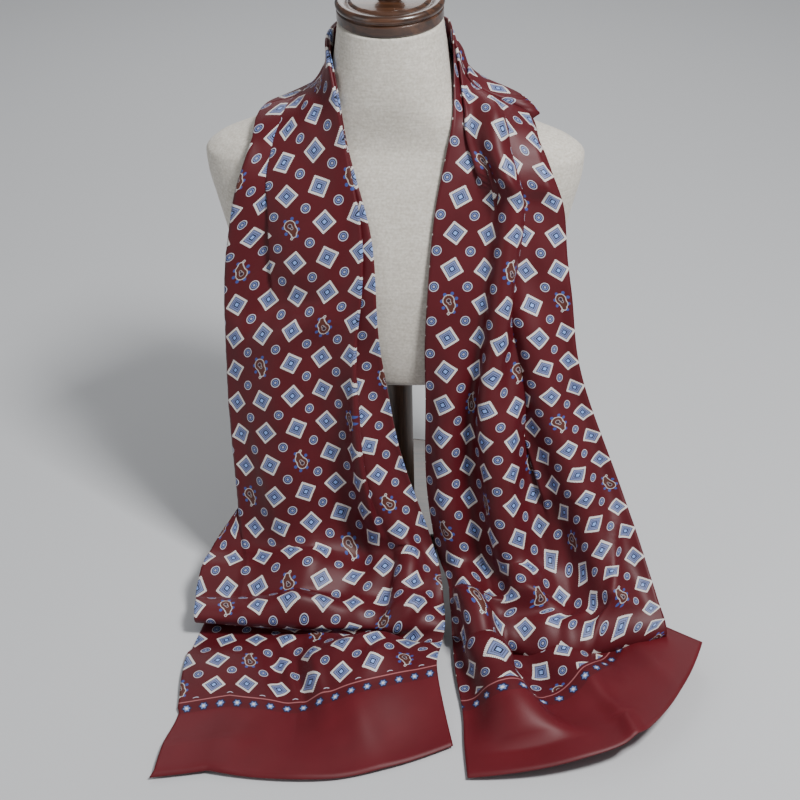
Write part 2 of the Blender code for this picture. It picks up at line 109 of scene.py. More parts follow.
# Inner edge x y z, outer fold x y z, forward bow, outward bow, all in millimetres. On the left tail, then
# the angle in degrees at which its outer strip is folded back under it, and that fold's distance across.
LEFT_RAILS = dict(
    shoulder=(-57, 2, 527, -117, 6, 445, 0, -26, 165, 211),
    collar=(-50, -32, 508, -122, -34, 438, 0, -22, 165, 212),
    neck=(-43, -48, 482, -131, -52, 420, 0, -14, 165, 219),
    throat=(-37, -57, 448, -140, -61, 397, 0, -5, 165, 222),
    yoke=(-27, -69, 412, -146, -64, 366, 0, 0, 165, 220),
    chest=(-13, -88, 366, -152, -70, 325, 0, 0, 165, 208),
    bust=(-7, -108, 312, -154, -82, 274, 0, 0, 165, 202),
    waist=(-4, -114, 258, -154, -94, 222, 0, 0, 160, 200),
    edge=(3, -118, 211, -153, -105, 181, 0, 0, 150, 200),
    drop=(12, -126, 161, -150, -118, 133, 0, 0, 135, 202),
    fall=(26, -135, 114, -147, -132, 88, 0, 0, 100, 204),
    low=(42, -146, 72, -144, -146, 52, 0, 0, 60, 206),
    heap=(52, -158, 46, -139, -164, 40, 0, 0, 35, 208),
    bulge=(59, -180, 35, -136, -186, 38, 0, 0, 20, 208),
    crease=(63, -202, 25, -137, -212, 22, 0, 0, 15, 208),
    roll=(66, -222, 22, -132, -228, 28, 4, 0, 10, 208),
    nose=(67, -238, 18, -129, -245, 18, 6, 0, 5, 208),
    tuck=(66, -244, 11, -128, -232, 6, 8, 0, 0, 208),
    spread=(64, -268, 12, -131, -272, 4, 14, 0, 0, 208),
    border=(66, -299, 12, -125, -344, 3, 22, 0, 0, 208),
    band=(76, -340, 5, -127, -388, 3, 24, 0, 0, 208),
    hem=(87, -382, 3, -127, -433, 3, 25, 0, 0, 208),
)
RIGHT_RAILS = dict(
    shoulder=(57, 4, 530, 133, 6, 446, 0, -30),
    collar=(60, -18, 496, 140, -22, 438, 0, -24),
    neck=(61, -40, 468, 148, -38, 427, 0, -13),
    throat=(56, -56, 436, 157, -49, 409, 0, -5),
    yoke=(49, -72, 400, 166, -54, 385, 0, 0),
    chest=(44, -90, 356, 171, -68, 344, 0, 0),
    bust=(41, -108, 304, 178, -84, 300, 0, 0),
    waist=(39, -114, 256, 184, -98, 254, 0, 0),
    edge=(40, -120, 210, 197, -110, 208, 0, 0),
    drop=(40, -128, 164, 214, -122, 166, 0, 0),
    fall=(42, -137, 112, 233, -140, 123, 0, 0),
    low=(49, -147, 64, 251, -165, 84, 0, 0),
    heap=(57, -158, 36, 263, -187, 58, 0, 0),
    bulge=(67, -184, 28, 270, -203, 44, 4, 0),
    crease=(70, -208, 24, 275, -215, 35, 10, 0),
    roll=(73, -230, 26, 279, -224, 27, 20, 0),
    nose=(75, -247, 17, 280, -228, 16, 28, 0),
    tuck=(74, -233, 6, 272, -206, 5, 28, 0),
    spread=(80, -278, 5, 268, -196, 4, 36, 0),
    border=(89, -322, 4, 258, -190, 6, 48, 0),
    band=(96, -372, 3, 284, -216, 14, 56, 0),
    hem=(103, -421, 3, 313, -246, 24, 62, 0),
)

# The scarf's edges behind the neck, from left to right: the same columns, without the flap
BACK_RAILS = (
    (-42, 44, 533, -92, 46, 449, 0, -12),
    (0, 61, 536, 0, 72, 436, 0, 0),
    (42, 44, 533, 96, 46, 447, 0, -14),
)

# The folds behind the neck: the share of the way from the left shoulder to the right, then in millimetres
# the inner lap's middle and overlap, the tuck's overlap, the outer lap's overlap, the outer strip's fold and
# the panel's middle.
BACK_FOLDS = (
    (0.0, 50, 32, 24, 0, 211, 118),
    (0.5, 68, 43, 0, 0, 186, 120),
    (1.0, 38, 17, 0, 57, 256, 80),
)

# Folds that run down a tail: name, kind, middle measured from the inner edge, width of a ridge, and how
# much. A lap folds the cloth back over itself, and a tuck back under itself. How much is a lap's or tuck's
# overlap or a swell's height in millimetres, or a ridge's steepness. Then the levels where the fold starts,
# is full, starts to ease and ends.
LEFT_FOLDS = (
    ("front lap", "lap", 50, 0, 32, "shoulder", "shoulder", "throat", "heap"),
    ("shoulder tuck", "tuck", 158, 0, 24, "shoulder", "shoulder", "throat", "bust"),
    ("collar panel", "ridge", 106, 72, 1.0, "collar", "yoke", "chest", "waist"),
    ("outer pleat", "ridge", 192, 40, 0.8, "collar", "yoke", "chest", "waist"),
    ("inner panel", "ridge", 44, 84, 1.2, "bust", "drop", "bulge", "nose"),
    ("outer panel", "ridge", 150, 112, 0.7, "chest", "edge", "bulge", "nose"),
    ("lobe", "swell", 70, 144, 17, "nose", "spread", "border", "hem"),
)
RIGHT_FOLDS = (
    ("front lap", "lap", 161, 0, 57, "shoulder", "shoulder", "yoke", "low"),
    ("neck lap", "lap", 38, 0, 17, "shoulder", "shoulder", "neck", "yoke"),
    ("neck panel", "ridge", 80, 62, 1.0, "shoulder", "shoulder", "waist", "fall"),
    ("inner panel", "ridge", 27, 60, 0.8, "bust", "drop", "low", "nose"),
    ("mid panel", "ridge", 104, 96, 1.0, "bust", "drop", "low", "nose"),
    ("outer panel", "ridge", 208, 80, 0.7, "chest", "waist", "low", "nose"),
    ("inner roll", "ridge", 50, 100, 1.0, "bulge", "roll", "border", "hem"),
    ("middle roll", "ridge", 150, 90, 0.4, "bulge", "roll", "border", "band"),
)
SWELL_SHARPNESS = 0.6
STEEPEST = 1.7
LIMPEST = 2.2

# Small creases, as soft ridges or troughs: piece, across and distance from the hem at its middle, length,
# width, lean from the cloth's length in degrees and height, in millimetres. A trough's height is negative.
CREASES = (
    ("left", 104, 760, 90, 14, 20, 1.4),
    ("left", 92, 640, 150, 16, -12, 1.4),
    ("left", 128, 560, 190, 20, 6, 1.4),
    ("left", 176, 600, 150, 14, -10, 1.6),
    ("left", 120, 470, 170, 16, -10, 1.6),
    ("left", 60, 420, 170, 16, -5, 1.8),
    ("left", 168, 400, 190, 18, 8, 2.0),
    ("left", 88, 330, 150, 26, 5, -7.0),
    ("left", 60, 268, 100, 22, -12, -9.0),
    ("left", 84, 276, 90, 26, -8, 6.0),
    ("left", 140, 300, 110, 22, -16, 3.4),
    ("left", 34, 262, 80, 24, -6, 6.0),
    ("left", 150, 250, 26, 110, 5, 5.0),
    ("left", 104, 228, 24, 60, -14, -6.0),
    ("left", 30, 206, 26, 60, 14, 5.0),
    ("left", 136, 186, 26, 110, 8, 8.0),
    ("left", 140, 128, 74, 10, 12, -5.0),
    ("left", 123, 126, 74, 14, 12, 6.0),
    ("left", 72, 158, 22, 90, 14, 6.0),
    ("left", 164, 140, 90, 18, 16, -6.0),
    ("left", 112, 140, 60, 40, 24, 6.0),
    ("left", 60, 126, 50, 26, -34, 5.0),
    ("left", 30, 130, 50, 20, 20, -4.0),
    ("left", 80, 56, 110, 30, 18, 3.4),
    ("left", 190, 50, 110, 34, -18, 3.0),
    ("left", 136, 20, 40, 60, 0, 2.6),
    ("right", 52, 640, 150, 16, 8, 1.6),
    ("right", 84, 560, 170, 14, -6, 1.6),
    ("right", 210, 600, 150, 16, 8, 1.6),
    ("right", 234, 500, 170, 14, -5, 1.5),
    ("right", 60, 450, 190, 16, 3, 1.8),
    ("right", 140, 420, 170, 18, -5, 2.0),
    ("right", 214, 380, 150, 16, -8, 1.8),
    ("right", 150, 330, 170, 24, 12, -6.0),
    ("right", 120, 290, 36, 80, 12, 5.0),
    ("right", 206, 262, 26, 100, -6, 4.0),
    ("right", 60, 264, 26, 60, 8, 6.0),
    ("right", 30, 232, 22, 50, -10, -6.0),
    ("right", 90, 214, 26, 90, 16, 8.0),
    ("right", 60, 184, 24, 60, 22, -7.0),
    ("right", 140, 176, 26, 60, -22, 6.0),
    ("right", 60, 146, 34, 80, 14, 7.0),
    ("right", 112, 130, 50, 22, -30, -4.0),
    ("right", 138, 40, 130, 16, 8, 5.0),
    ("right", 70, 60, 110, 34, -16, 3.0),
    ("right", 214, 60, 110, 26, 14, 2.6),
)

# The print, in metres. Its columns drift a little towards the inner edge between the left tail and the
# right. Its rows are straight at CHEST_RUN from the hem, and are eased below that over PILE_LENGTH.
PRINT_STEP_ACROSS = 0.0320
PRINT_STEP_ALONG = 0.0335
PRINT_START_ALONG = 0.0138
PRINT_DRIFT = 0.0105
SCARF_LENGTH = 1.9195
CHEST_RUN = 0.19
PILE_LENGTH = 0.42
PRINT_EVENED = 60
EVEN_WITHIN = 0.08
PAISLEY_PLACE = 0
PAISLEY_EVERY = 7
PAISLEY_SCALE = 1.2

# Its squares and their stitches, in millimetres
SQUARE_SIZE = 16.4
SQUARE_LEAN = math.radians(11.5)
STITCH = 1.45

# Distances from the hem to the print's edge, and the steps of the weaves, in metres
PLAIN_BAND = 0.0840
FLOWER_ROW = 0.0895
PINK_LINE = 0.0975
PRINT_EDGE = 0.1010
TWILL_LINE = 0.0009
LINEN_THREAD = 0.0011

# Camera, from the vanishing lines of the form: lens and sensor in millimetres, lengths in metres
CAMERA_TURN = math.radians(7.0)
CAMERA_DOWN = math.radians(31.7)
CAMERA_ROLL = math.radians(-1.45)
CAMERA_BACK = 1.4637
CAMERA_HEIGHT = 1.0329
CAMERA_LENS = 72.9
CAMERA_SENSOR = 36.0


def smooth(share):
    """0 up to 0, 1 from 1 on, and a soft rise between."""
    share = np.clip(share, 0, 1)
    return share * share * (3 - 2 * share)


def natural_spline(places, values, at):
    """Values at places along a smooth curve through every row."""
    count = len(places)
    steps = np.diff(places)
    slopes = np.diff(values, axis=0) / steps[:, None]
    matrix = np.eye(count)
    right = np.zeros_like(values)
    for i in range(1, count - 1):
        matrix[i, i - 1 : i + 2] = steps[i - 1], 2 * (steps[i - 1] + steps[i]), steps[i]
        right[i] = 6 * (slopes[i] - slopes[i - 1])
    bends = np.linalg.solve(matrix, right)
    at = np.clip(at, places[0], places[-1])
    i = np.clip(np.searchsorted(places, at, side="right") - 1, 0, count - 2)
    step = steps[i][:, None]
    after = (at - places[i])[:, None]
    before = step - after
    ends = bends[i] * before**3 / (6 * step) + bends[i + 1] * after**3 / (6 * step)
    start = (values[i] / step - bends[i] * step / 6) * before
    finish = (values[i + 1] / step - bends[i + 1] * step / 6) * after
    return ends + start + finish


def form_size(height):
    """Half width, front and back of the form at each height, with no overshoot between its sections."""
    rows = np.array(FORM_SECTIONS, float) / 1000
    z, sizes = rows[:, 0], rows[:, 1:]
    step = np.diff(z)[:, None]
    rise = np.diff(sizes, axis=0) / step
    slope = np.vstack([rise[:1], np.zeros_like(rise[1:]), rise[-1:]])
    with_next = 2 * step[1:] + step[:-1]
    with_last = step[1:] + 2 * step[:-1]
    steady = rise[:-1] * rise[1:] > 0
    safe_last = np.where(steady, rise[:-1], 1)
    safe_next = np.where(steady, rise[1:], 1)
    mean = (with_next + with_last) / (with_next / safe_last + with_last / safe_next)
    slope[1:-1] = np.where(steady, mean, 0)
    height = np.clip(height, z[0], z[-1])
    i = np.clip(np.searchsorted(z, height, side="right") - 1, 0, len(z) - 2)
    gap = (z[i + 1] - z[i])[..., None]
    t = (height - z[i])[..., None] / gap
    from_below = sizes[i] * (1 + 2 * t) + slope[i] * gap * t
    from_above = sizes[i + 1] * (3 - 2 * t) - slope[i + 1] * gap * (1 - t)
    return from_below * (1 - t) ** 2 + from_above * t**2


def form_value(points):
    """1 on the form's skin and more outside it."""
    size = form_size(points[..., 2])
    depth = np.where(points[..., 1] < 0, size[..., 1], size[..., 2])
    across = np.abs(points[..., 0] / size[..., 0]) ** FORM_ROUNDNESS
    along = np.abs(points[..., 1] / depth) ** FORM_ROUNDNESS
    return (across + along) ** (1 / FORM_ROUNDNESS)


def off_form(points, gap, turns=8, step=5e-4, most=0.01):
    """The points, each moved out to lie at least a gap off the form's skin."""
    points = points.copy()
    for _ in range(turns):
        slope = np.zeros_like(points)
        for axis in range(3):
            nudge = np.zeros(3)
            nudge[axis] = step
            slope[..., axis] = (form_value(points + nudge) - form_value(points - nudge)) / (2 * step)
        steep = np.maximum(np.linalg.norm(slope, axis=-1, keepdims=True), 1e-6)
        away = (form_value(points)[..., None] - 1) / steep
        short = np.clip(gap - away, 0, most)
        short[points[..., 2] < FORM_BOTTOM - 2 * gap] = 0
        points += short * slope / steep
    return points


def folds_at(folds, level):
    """Kind, middle, width, amount and share of each fold that is there at this level."""
    for _, kind, middle, wide, amount, *names in folds:
        start, full, ease, end = (LEVELS.index(name) for name in names)
        rise = 1.0 if level >= full else smooth((level - start) / (full - start))
        fall = 1.0 if level <= ease else 1 - smooth((level - ease) / (end - ease))
        if start <= level <= end and rise * fall > 0:
            yield kind, middle / 1000, wide / 1000, amount, float(rise * fall)


def cloth_angle(folds, level, across, limp):
    """The angle at which the cloth runs, in a section, at each distance from its inner edge."""
    angle = np.zeros_like(across)
    for kind, middle, wide, amount, share in folds_at(folds, level):
        if kind in ("lap", "tuck"):
            half = amount / 1000 * share / 2
            edge = FOLD_TURN + (FOLD_EDGE - FOLD_TURN) * smooth(half / EDGE_TIGHT_FROM)
            first, second = (FOLD_TURN, edge) if kind == "lap" else (edge, FOLD_TURN)
            back = smooth((across - middle + half) / first + 0.5)
            forth = smooth((across - middle - half) / second + 0.5)
            angle += (math.pi if kind == "lap" else -math.pi) * (back - forth)
        elif kind == "ridge":
            turn = (across - middle) / wide + 0.5
            steep = min(amount * share * limp, STEEPEST)
            angle += np.where((turn > 0) & (turn < 1), steep * np.sin(2 * math.pi * turn), 0)
    return angle


def swell_height(folds, level, across):
    """How far the swells lift the cloth at each distance from its inner edge."""
    height = np.zeros_like(across)
    for kind, middle, wide, amount, share in folds_at(folds, level):
        if kind == "swell":
            turn = np.clip((across - middle) / wide + 0.5, 0, 1)
            bump = 0.5 - 0.5 * np.cos(2 * math.pi * turn)
            height += amount / 1000 * share * bump**SWELL_SHARPNESS
    return height


def walk(angle, step):
    """Distance along and out, from going at each angle for a step."""
    middle = (angle[1:] + angle[:-1]) / 2
    along = np.concatenate([[0], np.cumsum(np.cos(middle)) * step])
    out = np.concatenate([[0], np.cumsum(np.sin(middle)) * step])
    return along, out


def cloth_section(folds, level, span, turn_at, flap):
    """A section's distances across the cloth, along its chord and out of it, and the angle of the cloth.

    The ridges grow steeper until the cloth between its inner edge and its outer fold fits the span.
    """
    across = np.linspace(0, SCARF_WIDTH, FINE)
    step = across[1] - across[0]
    panel = across <= turn_at + 1e-9
    flat, limp = 0.0, LIMPEST
    for _ in range(20):
        middle = (flat + limp) / 2
        along, out = walk(cloth_angle(folds, level, across, middle), step)
        if along[panel][-1] > span:
            flat = middle
        else:
            limp = middle
    angle = cloth_angle(folds, level, across, middle)
    along *= span / along[panel][-1]
    crest = np.max(along[panel], where=np.cos(angle[panel]) < 0, initial=CREST_LEAST * span)
    crest = min(crest, CREST_MOST * span)
    out -= out[panel][-1] * smooth((along - crest) / (span - crest))
    out += swell_height(folds, level, across)
    if flap:
        bend = np.clip((across - turn_at) / FLAP_RADIUS, 0, flap)
        back, down = walk(np.where(panel, 0, bend), step)
        lift = (1 - math.cos(flap)) * FLAP_RADIUS + CLOTH_WALL
        rise = lift * smooth((across - turn_at) / FLAP_EASE + 1)
        along = np.where(panel, along, span + back - back[panel][-1])
        out = np.maximum(np.where(panel, out, 0) + rise - down, CLOTH_WALL * np.sin(bend / 2))
        angle = angle - bend
    return across, along, out, angle


def columns_of(angle, across, count, room=0.012, turn=0.8):
    """Distances across the cloth, closer together where it turns."""
    weight = np.diff(across) / room + np.abs(np.diff(angle)) / turn
    run = np.concatenate([[0], np.cumsum(weight)])
    return np.interp(np.linspace(0, run[-1], count), run, across)


def stations_of(run, rails, first, count, room=0.018, turn=0.35):
    """Distances along the cloth from its first row on, closer together where its middle line turns."""
    fine = np.linspace(run[first], run[-1], 801)
    values = natural_spline(run, rails, fine)
    steps = np.diff((values[:, 0:3] + values[:, 3:6]) / 2, axis=0)
    length = np.linalg.norm(steps, axis=1)
    ways = steps / length[:, None]
    bend = np.arccos(np.clip(np.sum(ways[1:] * ways[:-1], axis=1), -1, 1))
    weight = length / room + np.concatenate([[0], bend]) / turn
    total = np.concatenate([[0], np.cumsum(weight)])
    return np.interp(np.linspace(0, total[-1], count), total, fine)


def rail_table(rows):
    """Distance along the middle line at each row, and the rows in metres and radians."""
    table = np.array(rows, float)
    table /= 1000
    table[:, 8:9] = np.radians(1000 * table[:, 8:9])
    middle = (table[:, 0:3] + table[:, 3:6]) / 2
    steps = np.linalg.norm(np.diff(middle, axis=0), axis=1)
    return np.concatenate([[0], np.cumsum(steps)]), table


def ways_along(run, rails, stations):
    """The direction on along the cloth's middle line at each station."""
    ahead = natural_spline(run, rails, stations + 1e-3)
    behind = natural_spline(run, rails, stations - 1e-3)
    way = (ahead - behind)[:, 0:3] + (ahead - behind)[:, 3:6]
    return way / np.linalg.norm(way, axis=1, keepdims=True)


def laid_section(rail, way, side, along, out, angle):
    """One section's points, bowed between its two edges, off the form and raised by its folds.

    With them go the cloth's outward direction at each point and the way on to the next section.
    """
    inner, outer = rail[0:3], rail[3:6]
    chord = outer - inner
    span = np.linalg.norm(chord)
    chord = chord / span
    up = np.cross(chord, way) * side
    up /= np.linalg.norm(up)
    ahead = np.cross(up, chord) * side
    bow = 1 - np.abs(2 * np.clip(along / span, 0, 1) - 1) ** BOW_POWER
    base = inner + chord * along[:, None] + (ahead * rail[6] + up * rail[7]) * bow[:, None]
    points = off_form(base, CLOTH_OFF_FORM) + up * out[:, None]
    return points, up * np.cos(angle)[:, None] - chord * np.sin(angle)[:, None], ahead


def turn_of(rail):
    """Where across the cloth its outer strip turns under, and by what angle."""
    return (rail[9], max(rail[8], 0)) if len(rail) > 8 else (SCARF_WIDTH, 0)


def span_of(rail):
    """From the inner edge to the outer fold."""
    return np.linalg.norm(rail[3:6] - rail[0:3])


def creased(points, outward, piece, across, hem_distance):
    """The points moved in or out by the small creases of their piece."""
    height = np.zeros(across.shape)
    for owner, middle, place, length, width, lean, rise in CREASES:
        if owner != piece:
            continue
        turn = math.radians(lean)
        x = across - middle / 1000
        y = hem_distance - place / 1000
        over = (x * math.cos(turn) - y * math.sin(turn)) / (width / 2000)
        along = (x * math.sin(turn) + y * math.cos(turn)) / (length / 2000)
        height += rise / 1000 * np.exp(-(over**2) - along**2)
    return points + outward * height[..., None]


def evened(run, turns):
    """Distances along the threads, evened out over their neighbours a number of times."""
    for _ in range(turns):
        padded = np.pad(run, ((0, 0), (1, 1)), mode="edge")
        run = (padded[:, :-2] + 2 * padded[:, 1:-1] + padded[:, 2:]) / 4
    return run


class Sheet:
    """A grid of points on the cloth's underside, its outward direction and its place in the flat cloth."""

    def __init__(self, rows):
        self.points = np.array([row[0] for row in rows])
        self.outward = np.array([row[1] for row in rows])
        self.first_way = rows[0][2]
        self.across = np.array([row[3] for row in rows])
        self.run = self.run_along()

    def run_along(self):
        """How far each section is along the cloth, on each of its threads."""
        lines = np.array(
            [
                [np.interp(THREADS, across, values) for values in points.T]
                for across, points in zip(self.across, self.points + self.outward * CLOTH_WALL)
            ]
        )
        steps = np.linalg.norm(np.diff(lines, axis=0), axis=1)
        return evened(np.vstack([np.zeros(len(THREADS)), np.cumsum(steps, axis=0)]), 3)

    def at_points(self, values):
        """Values given for each section and thread, at the points of the sheet."""
        return np.array([np.interp(across, THREADS, row) for across, row in zip(self.across, values)])

    def meet(self, end, tail):
        """Makes one end the same as a tail's first section, a seam's gap before it."""
        self.points[end] = tail.points[0] - tail.first_way * SEAM_GAP
        self.outward[end] = tail.outward[0]


def tail_points(piece, rails, folds, side, back):
    """A grid of points on the underside of a tail, from the shoulder to the hem."""
    rows = [(*row, *rails["shoulder"][8:]) for row in back] + [rails[name] for name in LEVELS]
    run, table = rail_table(rows)
    stations = stations_of(run, table, len(back), TAIL_STATIONS)
    levels = np.interp(stations, run[len(back) :], np.arange(len(LEVELS)))
    values = natural_spline(run, table, stations)
    rows = []
    for rail, level, way in zip(values, levels, ways_along(run, table, stations)):
        across, along, out, angle = cloth_section(folds, level, span_of(rail), *turn_of(rail))
        columns = columns_of(angle, across, TAIL_COLUMNS)
        section = [np.interp(columns, across, values) for values in (along, out, angle)]
        rows.append((*laid_section(rail, way, side, *section), columns))
    sheet = Sheet(rows)
    hem_distance = sheet.at_points(sheet.run[-1] - sheet.run)
    sheet.points = creased(sheet.points, sheet.outward, piece, sheet.across, hem_distance)
    return sheet


def folds_behind(share):
    """The folds, and the outer strip's fold, at a share of the way from the left shoulder to the right."""
    table = np.array(BACK_FOLDS, float)
    values = [float(np.interp(share, table[:, 0], column)) for column in table.T[1:]]
    inner_middle, inner, tuck, outer, turn_at, panel_middle = values
    whole = ("shoulder", "shoulder", "collar", "neck")
    folds = (
        ("inner lap", "lap", inner_middle, 0, inner, *whole),
        ("tuck", "tuck", 158, 0, tuck, *whole),
        ("outer lap", "lap", 161, 0, outer, *whole),
        ("panel", "ridge", panel_middle, 62, 1.0, *whole),
    )
    return folds, turn_at / 1000


def neck_points():
    """A grid of points on the underside of the stretch behind the neck, between the two tails."""
    rows = [LEFT_RAILS[name][:8] for name in ("neck", "collar", "shoulder")]
    rows += [*BACK_RAILS, *(RIGHT_RAILS[name] for name in ("shoulder", "collar", "neck"))]
    run, table = rail_table(rows)
    stations = np.linspace(run[2], run[-3], NECK_STATIONS)
    values = natural_spline(run, table, stations)
    shares = (stations - stations[0]) / (stations[-1] - stations[0])
    flap = math.radians(LEFT_RAILS["shoulder"][8])
    rows = []
    for rail, share, way in zip(values, shares, ways_along(run, table, stations)):
        folds, turn_at = folds_behind(share)
        section = cloth_section(folds, 0, span_of(rail), turn_at, flap if turn_at < SCARF_WIDTH else 0)
        across, along, out, angle = section
        columns = columns_of(angle, across, TAIL_COLUMNS)
        section = [np.interp(columns, across, values) for values in (along, out, angle)]
        rows.append((*laid_section(rail, way, -1, *section), columns))
    return Sheet(rows)


def new_piece(name, mesh, material):
    """A smooth-shaded piece at the origin that rides with the rest."""
    obj = bpy.data.objects.new(name, mesh)
    bpy.context.scene.collection.objects.link(obj)
    mesh.materials.append(material)
    mesh.shade_smooth()
    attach(obj, "root")
    return obj


def finished_mesh(name, body):
    """The built shape as a mesh, with its faces turned outwards."""
    bmesh.ops.recalc_face_normals(body, faces=body.faces)
    mesh = bpy.data.meshes.new(name)
    body.to_mesh(mesh)
    body.free()
    return mesh


def cloth_piece(name, sheet, across, along, material):
    """The thin silk on a sheet of points. Its UV is each point's place on the flat print, in metres."""
    under = sheet.points + sheet.outward * (CLOTH_WALL - SILK_WALL) / 2
    over = under + sheet.outward * SILK_WALL
    under[..., 2] = np.maximum(under[..., 2], CLOTH_OFF_FLOOR)
    over[..., 2] = np.maximum(over[..., 2], CLOTH_OFF_FLOOR + SILK_WALL / 2)
    rows, columns = under.shape[:2]
    body = bmesh.new()
    low, high = ([[body.verts.new(p) for p in row] for row in face] for face in (under, over))
    place = {}
    for face in (low, high):
        for j, row in enumerate(face):
            for i, corner in enumerate(row):
                place[corner] = (across[j, i], along[j, i])
    for face in (low, high):
        for j in range(rows - 1):
            for i in range(columns - 1):
                body.faces.new((face[j][i], face[j][i + 1], face[j + 1][i + 1], face[j + 1][i]))
    rim = [(0, i) for i in range(columns)]
    rim += [(j, columns - 1) for j in range(1, rows)]
    rim += [(rows - 1, i) for i in range(columns - 2, -1, -1)]
    rim += [(j, 0) for j in range(rows - 2, 0, -1)]
    for (j, i), (m, k) in zip(rim, rim[1:] + rim[:1]):
        body.faces.new((low[j][i], low[m][k], high[m][k], high[j][i]))
    flat_place = body.loops.layers.uv.new("flat_cloth")
    for face in body.faces:
        for loop in face.loops:
            loop[flat_place].uv = place[loop.vert]
    return new_piece(name, finished_mesh(name, body), material)


def from_hem(tail):
    """How far along the print from the hem a tail's sections and threads are.

    Rows of the print run straight across the chest. From there each thread keeps its own length, and what one
    thread has more than another is taken up in the pile. The threads are evened out with their neighbours, so
    that steep folds don't shear the print.
    """
    run = tail.run[-1] - tail.run
    chest = run[np.argmax(tail.run.mean(axis=1) > CHEST_RUN)]
    run = run + (chest.mean() - chest) * smooth((run - PRINT_EDGE) / PILE_LENGTH)
    return run + (evened(run, PRINT_EVENED) - run) * smooth((run - PRINT_EDGE) / EVEN_WITHIN)


def printed_sheets():
    """The three sheets of the scarf, and each one's places across and along the print."""
    left = tail_points("left", LEFT_RAILS, LEFT_FOLDS, 1, BACK_RAILS[1::-1])
    right = tail_points("right", RIGHT_RAILS, RIGHT_FOLDS, -1, BACK_RAILS[1:])
    back = neck_points()
    back.meet(0, left)
    back.meet(-1, right)
    from_left = from_hem(left)
    from_right = SCARF_LENGTH - from_hem(right)
    share = back.run / back.run[-1]
    between = from_left[0] + share * (from_right[0] - from_left[0])
    yield left, left.across, left.at_points(from_left)
    yield back, back.across + PRINT_DRIFT * back.at_points(share), back.at_points(between)
    yield right, right.across + PRINT_DRIFT, right.at_points(from_right)


def make_scarf(silk):
    """The two tails and the stretch behind the neck."""
    names = (
        ("silk_tail_left", "scarf_tail_left"),
        ("silk_neck", "scarf_neck"),
        ("silk_tail_right", "scarf_tail_right"),
    )
    for (name, node), (sheet, across, along) in zip(names, printed_sheets()):
        piece = cloth_piece(name, sheet, across, along, silk)
        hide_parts(node)


def make_torso(linen, around=160, rings=150):
    """The linen body: rounded sections from its flat bottom to the tilted top of its neck."""
    heights = np.linspace(FORM_SECTIONS[0][0] / 1000, FORM_SECTIONS[-1][0] / 1000, rings)
    body = bmesh.new()
    loops = []
    for z, (half_width, front, back) in zip(heights, form_size(heights)):
        ring = bmesh.ops.create_circle(body, segments=around, radius=1)["verts"]
        tilt = smooth((z - TILT_FROM) / (FORM_TOP - TILT_FROM)) * math.tan(CAP_TILT)
        for corner in ring:
            cos, sin = corner.co.x, corner.co.y
            x = half_width * math.copysign(abs(cos) ** (2 / FORM_ROUNDNESS), cos)
            y = (back if sin > 0 else front) * math.copysign(abs(sin) ** (2 / FORM_ROUNDNESS), sin)
            corner.co = (x, y, z + y * tilt)
        loops.append(list(dict.fromkeys(edge for corner in ring for edge in corner.link_edges)))
    bmesh.ops.edgeloop_fill(body, edges=loops[0])
    bmesh.ops.edgeloop_fill(body, edges=loops[-1])
    for low, high in zip(loops, loops[1:]):
        bmesh.ops.bridge_loops(body, edges=low + high)
    torso = new_piece("linen_torso", finished_mesh("linen_torso", body), linen)
    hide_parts("torso_form")


def arc(centre, radius, start, end, count):
    """Points on a round stretch of an outline, with angles in degrees."""
    for i in range(count + 1):
        angle = math.radians(start + (end - start) * i / count)
        yield centre[0] + radius * math.cos(angle), centre[1] + radius * math.sin(angle)


def turned(name, node, outline, place, material, steps=144):
    """A turned wooden piece: its outline as radius and height, spun round its axis and put in place."""
    body = bmesh.new()
    line = [body.verts.new((radius, 0, height)) for radius, height in outline]
    edges = [body.edges.new(pair) for pair in zip(line, line[1:])]
    bmesh.ops.spin(body, geom=line + edges, axis=(0, 0, 1), cent=(0, 0, 0), steps=steps, angle=2 * math.pi)
    bmesh.ops.remove_doubles(body, verts=body.verts, dist=1e-6)
    bmesh.ops.transform(body, matrix=place, verts=body.verts)
    mesh = finished_mesh(name, body)
    piece = new_piece(name, mesh, material)
    mesh.set_sharp_from_angle(angle=math.radians(35))
    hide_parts(node)


